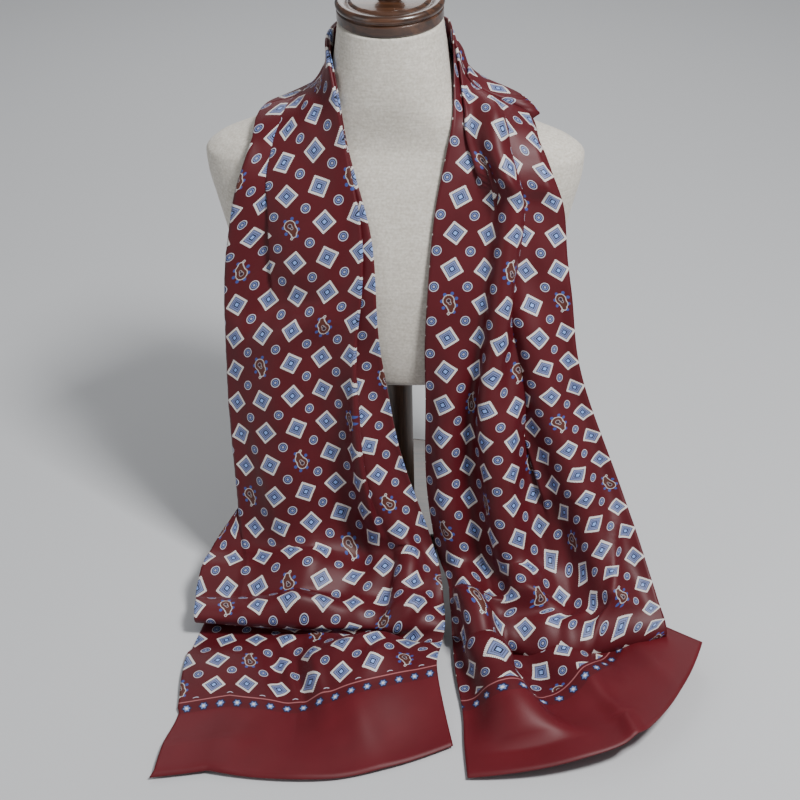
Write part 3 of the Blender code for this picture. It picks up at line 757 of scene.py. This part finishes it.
def make_wood(polished, satin):
    """The neck cap with its bead, groove and knob, the pole and the round base."""
    bead, height, edge = 0.0045, 0.020, 0.006
    top = Matrix.Translation((0, 0, FORM_TOP + SEAM_GAP)) @ Matrix.Rotation(CAP_TILT, 4, "X")
    cap = [(0, 0), (CAP_RADIUS - 0.0015, 0), (CAP_RADIUS, 0.0015), (CAP_RADIUS, 0.010)]
    cap.append((CAP_RADIUS - 0.0012, 0.011))
    cap += arc((CAP_RADIUS - 0.0035, height - bead), bead, -50, 105, 20)
    cap += [(0.0405, height - 0.0012), (0.0390, height - 0.0024), (0.0375, height - 0.0012), (0.0350, height)]
    turned("wood_cap", "neck_cap", cap + [(0, height)], top, polished)
    knob = [(0, 0), (0.0120, 0), (0.0120, 0.0020), (0.0085, 0.0045), (0.0085, 0.0070)]
    knob += arc((0, 0.0200), 0.017, -60, 90, 30)
    lift = Matrix.Translation((0, 0, height + SEAM_GAP))
    turned("wood_knob", "cap_knob", knob, top @ lift, polished)
    length = FORM_BOTTOM - BASE_HEIGHT - 2 * SEAM_GAP
    pole = [(0, 0), (POLE_RADIUS, 0), (POLE_RADIUS, length), (0, length)]
    stand = Matrix.Translation((0, 0, BASE_HEIGHT + SEAM_GAP))
    turned("wood_pole", "stand_pole", pole, stand, satin)
    base = [(0, 0), (BASE_RADIUS - 0.001, 0), (BASE_RADIUS, 0.001)]
    base += arc((BASE_RADIUS - edge, BASE_HEIGHT - edge), edge, 0, 90, 16)
    turned("wood_base", "stand_base", base + [(0, BASE_HEIGHT)], Matrix.Identity(4), polished)


def linear(code):
    """A colour picked as an sRGB hex code, as linear RGBA."""
    values = [int(code[i : i + 2], 16) / 255 for i in (1, 3, 5)]
    return (*(v / 12.92 if v <= 0.04045 else ((v + 0.055) / 1.055) ** 2.4 for v in values), 1)


class Surface:
    """One material, with a short way to add a node with its settings and its inputs, linked or set."""

    def __init__(self, name):
        self.material = bpy.data.materials.new(name)
        self.material.use_nodes = True
        self.tree = self.material.node_tree
        self.shader = self.tree.nodes["Principled BSDF"]

    def add(self, kind, inputs=(), **settings):
        """A new node of a kind, set up and fed."""
        node = self.tree.nodes.new("ShaderNode" + kind)
        for key, value in settings.items():
            setattr(node, key, value)
        self.fill(node, inputs)
        return node

    def fill(self, node, inputs):
        """Links a node's inputs, or sets them where the value isn't a socket."""
        pairs = inputs.items() if isinstance(inputs, dict) else enumerate(inputs)
        for key, value in pairs:
            if isinstance(value, bpy.types.NodeSocket):
                self.tree.links.new(value, node.inputs[key])
            elif value is not None:
                node.inputs[key].default_value = value

    def math(self, operation, *inputs, clamp=False):
        """The result of a sum on sockets and numbers."""
        return self.add("Math", inputs, operation=operation, use_clamp=clamp).outputs[0]

    def ramp(self, value, stops, interpolation="LINEAR"):
        """Colours along a value from 0 to 1, as place and hex code."""
        node = self.add("ValToRGB", [value])
        node.color_ramp.interpolation = interpolation
        while len(node.color_ramp.elements) < len(stops):
            node.color_ramp.elements.new(1)
        for element, (place, code) in zip(node.color_ramp.elements, stops):
            element.position = place
            element.color = linear(code)
        return node.outputs["Color"]

    def mix(self, share, low, high, blend="MIX"):
        """One colour turned into another by a share."""
        node = self.add("Mix", data_type="RGBA", blend_type=blend)
        for socket, value in ((0, share), (6, low), (7, high)):
            if isinstance(value, bpy.types.NodeSocket):
                self.tree.links.new(value, node.inputs[socket])
            else:
                node.inputs[socket].default_value = value
        return node.outputs[2]

    def below(self, value, limit, soft):
        """1 where the value is under the limit and 0 above it, with a soft edge."""
        return self.math("MULTIPLY_ADD", self.math("SUBTRACT", limit, value), 1 / soft, 0.5, clamp=True)


def rings(radii, codes, largest, soft=0.02):
    """Ramp stops for flat rings, from the middle out: each code holds up to its radius."""
    stops = [(0, codes[0])]
    for radius, inner, outer in zip(radii, codes, codes[1:]):
        stops += [(radius / largest - soft, inner), (radius / largest + soft, outer)]
    return stops


# The print's colours, as sRGB hex codes
GROUND = "#58151D"
BAND = "#63161F"
CREAM = "#EFEAE4"
GREY = "#A6A9C4"
SILVER = "#CBCCDA"
DARK_WINE = "#2C1526"
PERIWINKLE = "#7182B8"
BLUE = "#40549A"
BRIGHT_BLUE = "#8DB0F4"
NAVY = "#1B2244"
BLACK = "#0F0E15"
BROWN = "#5B2F26"
PINK = "#A9686A"


def printed_silk():
    """Printed burgundy silk twill: a foulard of stitched squares and dots, with small paisleys.

    Its low sheen draws broad pale highlights along the folds and leaves the hollows a deep wine red.
    """
    s = Surface("printed_silk_twill")
    flat = s.add("UVMap", uv_map="flat_cloth")
    parts = s.add("SeparateXYZ", [flat.outputs["UV"]])
    across, along = parts.outputs["X"], parts.outputs["Y"]
    hem = s.math("MINIMUM", along, s.math("SUBTRACT", SCARF_LENGTH, along))

    # The grid cell and the place in it, in millimetres from its middle
    column = s.math("DIVIDE", across, PRINT_STEP_ACROSS)
    row = s.math("DIVIDE", s.math("SUBTRACT", along, PRINT_START_ALONG), PRINT_STEP_ALONG)
    i, j = s.math("ROUND", column), s.math("ROUND", row)
    x = s.math("MULTIPLY", s.math("SUBTRACT", column, i), PRINT_STEP_ACROSS * 1000)
    y = s.math("MULTIPLY", s.math("SUBTRACT", row, j), PRINT_STEP_ALONG * 1000)
    odd = s.math("FLOORED_MODULO", s.math("ADD", i, j), 2)

    # Squares stand nearly on a corner and lean to either side in turn
    swing = s.math("MULTIPLY_ADD", odd, -2 * SQUARE_LEAN, math.radians(45) + SQUARE_LEAN)
    cos, sin = s.math("COSINE", swing), s.math("SINE", swing)
    right = s.math("ADD", s.math("MULTIPLY", x, cos), s.math("MULTIPLY", y, sin))
    up = s.math("SUBTRACT", s.math("MULTIPLY", y, cos), s.math("MULTIPLY", x, sin))
    right, up = s.math("ABSOLUTE", right), s.math("ABSOLUTE", up)
    far = s.math("MAXIMUM", right, up)
    near = s.math("MINIMUM", right, up)
    stitch = s.math("COSINE", s.math("MULTIPLY", near, 2 * math.pi / STITCH))
    scalloped = s.math("MULTIPLY_ADD", stitch, -0.22, far)
    codes = (BRIGHT_BLUE, BLACK, PERIWINKLE, NAVY, PERIWINKLE, NAVY, CREAM)
    radii = (1.6, 2.6, 3.4, 4.1, 5.4, 6.2)
    square = s.ramp(s.math("DIVIDE", far, 10), rings(radii, codes, 10, 0.012))
    speck_right, speck_up = (s.math("SINE", s.math("MULTIPLY", value, 5.2)) for value in (right, up))
    speck = s.math("MULTIPLY", speck_right, speck_up)
    specks = s.math("MULTIPLY", s.below(speck, -0.15, 0.4), s.below(far, 6.1, 0.3))
    specks = s.math("MULTIPLY", specks, s.below(2.9, far, 0.3))
    square = s.mix(s.math("MULTIPLY", specks, 0.5), square, linear(GREY))
    gap = s.math("MULTIPLY", s.below(stitch, -0.55, 0.5), s.below(6.5, far, 0.3))
    square = s.mix(s.math("MULTIPLY", gap, 0.5), square, linear("#574B63"))
    in_square = s.below(scalloped, SQUARE_SIZE / 2, 0.25)

    # Dots lie between the squares
    dot_column = s.math("SUBTRACT", s.math("FRACT", column), 0.5)
    dot_row = s.math("SUBTRACT", s.math("FRACT", row), 0.5)
    dot_x = s.math("MULTIPLY", dot_column, PRINT_STEP_ACROSS * 1000)
    dot_y = s.math("MULTIPLY", dot_row, PRINT_STEP_ALONG * 1000)
    dot = s.add("VectorMath", [s.add("CombineXYZ", [dot_x, dot_y]).outputs[0]], operation="LENGTH")
    dot = dot.outputs["Value"]
    dot_codes = (GREY, NAVY, PERIWINKLE, DARK_WINE, SILVER, GROUND)
    dot_rings = rings((1.2, 2.0, 3.0, 3.9, 4.7), dot_codes, 8, 0.015)
    dot_colour = s.ramp(s.math("DIVIDE", dot, 8), dot_rings)

    # Every few squares, a small paisley takes a square's place
    place = s.math("FLOORED_MODULO", s.math("ADD", i, s.math("MULTIPLY", j, 2)), PAISLEY_EVERY)
    is_paisley = s.math("COMPARE", place, PAISLEY_PLACE, 0.4)
    flip = s.math("MULTIPLY_ADD", s.math("FLOORED_MODULO", j, 2), -2, 1)
    flip = s.math("MULTIPLY", flip, 1 / PAISLEY_SCALE)
    spot = s.add("CombineXYZ", [s.math("MULTIPLY", x, flip), s.math("MULTIPLY", y, flip)]).outputs[0]

    def circle(centre_x, centre_y, radius):
        apart = s.add("VectorMath", [spot, (centre_x, centre_y, 0)], operation="DISTANCE")
        return s.math("SUBTRACT", apart.outputs["Value"], radius)

    body = s.math("SMOOTH_MIN", circle(-1.0, -3.0, 4.1), circle(1.4, 1.6, 3.0), 3.0)
    body = s.math("SMOOTH_MIN", body, circle(1.6, 5.4, 1.5), 2.6)
    body = s.math("SMOOTH_MIN", body, circle(-0.4, 8.0, 0.5), 2.2)
    lobes = circle(4.0, 6.6, 1.3)
    for centre in ((-4.6, 3.0), (5.4, 1.2), (-6.2, -2.4), (-4.2, -7.6), (1.6, -8.6), (5.2, -4.6)):
        lobes = s.math("MINIMUM", lobes, circle(*centre, 1.4))
    beads = s.math("COSINE", s.math("MULTIPLY", s.math("ADD", x, y), 2 * math.pi / 1.3))
    outline = s.mix(s.below(beads, -0.2, 0.4), linear(CREAM), linear("#6A5A68"))
    core = s.math("SMOOTH_MIN", circle(-0.9, -2.8, 1.4), circle(0.5, -0.4, 0.7), 2.4)
    paisley = s.mix(s.below(lobes, 0, 0.3), linear(GROUND), linear(BLUE))
    paisley = s.mix(s.below(body, 0.7, 0.3), paisley, outline)
    paisley = s.mix(s.below(body, 0.0, 0.3), paisley, linear(BROWN))
    paisley = s.mix(s.below(core, 0.5, 0.25), paisley, linear("#A79A9C"))
    paisley = s.mix(s.below(core, 0.0, 0.25), paisley, linear("#3A2230"))

    # The print, its edge row of flowers and line, and the plain band
    colour = s.mix(in_square, dot_colour, square)
    colour = s.mix(is_paisley, colour, s.mix(s.below(dot, 5.0, 0.3), paisley, dot_colour))
    colour = s.mix(s.below(hem, PRINT_EDGE, 0.0004), colour, linear(GROUND))
    pink = s.math("ABSOLUTE", s.math("SUBTRACT", hem, PINK_LINE))
    colour = s.mix(s.below(pink, 0.0006, 0.0004), colour, linear(PINK))
    flower_x = s.math("SUBTRACT", s.math("FRACT", s.math("DIVIDE", across, PRINT_STEP_ACROSS / 2)), 0.5)
    flower_x = s.math("MULTIPLY", flower_x, PRINT_STEP_ACROSS * 500)
    flower_y = s.math("MULTIPLY", s.math("SUBTRACT", hem, FLOWER_ROW), 1000)
    turn = s.math("ARCTAN2", flower_y, flower_x)
    petals = s.math("MULTIPLY", s.math("COSINE", s.math("MULTIPLY", turn, 6)), 0.5)
    flower = s.add("VectorMath", [s.add("CombineXYZ", [flower_x, flower_y]).outputs[0]], operation="LENGTH")
    flower = s.math("SUBTRACT", flower.outputs["Value"], petals)
    flower_rings = rings((1.3, 3.0, 4.4), (CREAM, PERIWINKLE, NAVY, GROUND), 8)
    flower_colour = s.ramp(s.math("DIVIDE", flower, 8), flower_rings)
    colour = s.mix(s.below(flower, 4.4, 0.3), colour, flower_colour)
    colour = s.mix(s.below(hem, PLAIN_BAND, 0.0006), colour, linear(BAND))

    # Uneven dye, so that the ground isn't one flat colour
    cloudy = s.add("TexNoise", {"Vector": flat.outputs["UV"], "Scale": 22.0, "Detail": 3.0})
    uneven = s.ramp(cloudy.outputs["Fac"], ((0.3, "#D8D8D8"), (0.7, "#FFFFFF")))
    colour = s.mix(0.6, colour, uneven, "MULTIPLY")

    # Fine diagonal twill, which gives the sheen its grain
    diagonal = s.math("SINE", s.math("MULTIPLY", s.math("ADD", across, along), 2 * math.pi / TWILL_LINE))
    slub = s.add("TexNoise", {"Vector": flat.outputs["UV"], "Scale": 900.0, "Detail": 2.0})
    weave = s.math("MULTIPLY_ADD", slub.outputs["Fac"], 0.8, diagonal)
    bump = s.add("Bump", {"Strength": 0.12, "Distance": 0.0002, "Height": weave})
    rough = s.math("MULTIPLY_ADD", cloudy.outputs["Fac"], 0.10, 0.43)
    s.fill(s.shader, {"Base Color": colour, "Roughness": rough, "Normal": bump.outputs["Normal"]})
    s.fill(s.shader, {"Specular IOR Level": 0.32, "Sheen Weight": 0.12, "Sheen Roughness": 0.35})
    s.fill(s.shader, {"Sheen Tint": linear("#C05058")})
    return s.material


def linen_cloth():
    """Natural off-white linen: a plain weave with thicker threads here and there.

    It is matt and slightly mottled, so it stays calm and pale beside the silk.
    """
    s = Surface("natural_linen")
    place = s.add("TexCoord").outputs["Object"]
    parts = s.add("SeparateXYZ", [place])
    level = s.math("MULTIPLY", parts.outputs["Z"], 2 * math.pi / LINEN_THREAD)
    side = s.math("SUBTRACT", parts.outputs["X"], s.math("MULTIPLY", parts.outputs["Y"], 0.6))
    side = s.math("MULTIPLY", side, 2 * math.pi / LINEN_THREAD)
    weave = s.math("MULTIPLY", s.math("SINE", level), s.math("SINE", side))
    threads = s.add("TexNoise", {"Vector": place, "Scale": 420.0, "Detail": 3.0})
    slubs = s.add("Mapping", {"Vector": place, "Scale": (1.0, 1.0, 9.0)})
    slub = s.add("TexNoise", {"Vector": slubs.outputs[0], "Scale": 60.0, "Detail": 4.0})
    soft = s.add("TexNoise", {"Vector": place, "Scale": 9.0, "Detail": 2.0})
    colour = s.ramp(threads.outputs["Fac"], ((0.30, "#CFC9BE"), (0.70, "#E9E5DD")))
    thick = s.ramp(slub.outputs["Fac"], ((0.35, "#C9C2B6"), (0.65, "#F2EFE9")))
    mottled = s.ramp(soft.outputs["Fac"], ((0.3, "#D9D5CE"), (0.7, "#FFFFFF")))
    colour = s.mix(0.35, colour, thick, "MULTIPLY")
    colour = s.mix(0.25, colour, mottled, "MULTIPLY")
    height = s.math("ADD", s.math("MULTIPLY", weave, 0.5), threads.outputs["Fac"])
    bump = s.add("Bump", {"Strength": 0.35, "Distance": 0.0003, "Height": height})
    s.fill(s.shader, {"Base Color": colour, "Roughness": 0.92, "Normal": bump.outputs["Normal"]})
    s.fill(s.shader, {"Specular IOR Level": 0.2, "Sheen Weight": 0.15})
    return s.material


def polished_wood(name, dark, light, rough, coat, grain_scale):
    """Dark stained wood: long grain with fine pores under a clear polish.

    The pores dull its highlights a little, and the coat gives the cap its bright rim.
    """
    s = Surface(name)
    place = s.add("TexCoord").outputs["Object"]
    grain = s.add("Mapping", {"Vector": place, "Scale": grain_scale})
    bend = s.add("TexNoise", {"Vector": grain.outputs[0], "Scale": 9.0, "Detail": 5.0, "Distortion": 0.6})
    pores = s.add("TexNoise", {"Vector": grain.outputs[0], "Scale": 55.0, "Detail": 2.0})
    colour = s.ramp(bend.outputs["Fac"], ((0.32, dark), (0.66, light)))
    dark_pores = s.ramp(pores.outputs["Fac"], ((0.38, "#6E6259"), (0.60, "#FFFFFF")))
    colour = s.mix(0.35, colour, dark_pores, "MULTIPLY")
    bump = s.add("Bump", {"Strength": 0.08, "Distance": 0.0003, "Height": pores.outputs["Fac"]})
    s.fill(s.shader, {"Base Color": colour, "Roughness": rough, "Normal": bump.outputs["Normal"]})
    s.fill(s.shader, {"Coat Weight": coat, "Coat Roughness": 0.12})
    return s.material


def make_stage():
    """A plain pale floor, soft studio light and the camera."""
    mesh = bpy.data.meshes.new("floor")
    body = bmesh.new()
    bmesh.ops.create_grid(body, x_segments=1, y_segments=1, size=4)
    body.to_mesh(mesh)
    body.free()
    floor = bpy.data.objects.new("floor", mesh)
    bpy.context.scene.collection.objects.link(floor)
    surface = Surface("plain_pale_floor")
    surface.fill(surface.shader, {"Base Color": linear("#C9CACC"), "Roughness": 0.8})
    mesh.materials.append(surface.material)
    world = bpy.data.worlds.new("studio")
    bpy.context.scene.world = world
    world.use_nodes = True
    world.node_tree.nodes["Background"].inputs["Color"].default_value = linear("#D5D8DC")
    world.node_tree.nodes["Background"].inputs["Strength"].default_value = 0.34
    lights = (
        ("key", (1.0, -0.8, 2.0), 0.45, 58),
        ("fill", (-1.7, -1.2, 1.0), 1.4, 8),
        ("back", (-0.3, 1.6, 1.6), 1.2, 14),
    )
    for name, place, size, power in lights:
        light = bpy.data.lights.new(name, "AREA")
        light.size = size
        light.energy = power
        lamp = bpy.data.objects.new(name, light)
        bpy.context.scene.collection.objects.link(lamp)
        lamp.location = place
        lamp.rotation_euler = (-Vector(place)).to_track_quat("-Z", "Y").to_euler()
    view = bpy.data.cameras.new("camera")
    view.lens = CAMERA_LENS
    view.sensor_width = CAMERA_SENSOR
    camera = bpy.data.objects.new("camera", view)
    bpy.context.scene.collection.objects.link(camera)
    camera.matrix_world = (
        Matrix.Rotation(CAMERA_TURN, 4, "Z")
        @ Matrix.Translation((0, -CAMERA_BACK, CAMERA_HEIGHT))
        @ Matrix.Rotation(math.pi / 2 - CAMERA_DOWN, 4, "X")
        @ Matrix.Rotation(CAMERA_ROLL, 4, "Z")
    )
    bpy.context.scene.camera = camera


make_stage()
make_torso(linen_cloth())
make_scarf(printed_silk())
make_wood(
    polished_wood("dark_walnut_polished", "#2A1911", "#5A3A27", 0.32, 0.6, (1.0, 14.0, 14.0)),
    polished_wood("dark_wood_satin", "#35241A", "#5E4330", 0.45, 0.2, (14.0, 14.0, 1.0)),
)
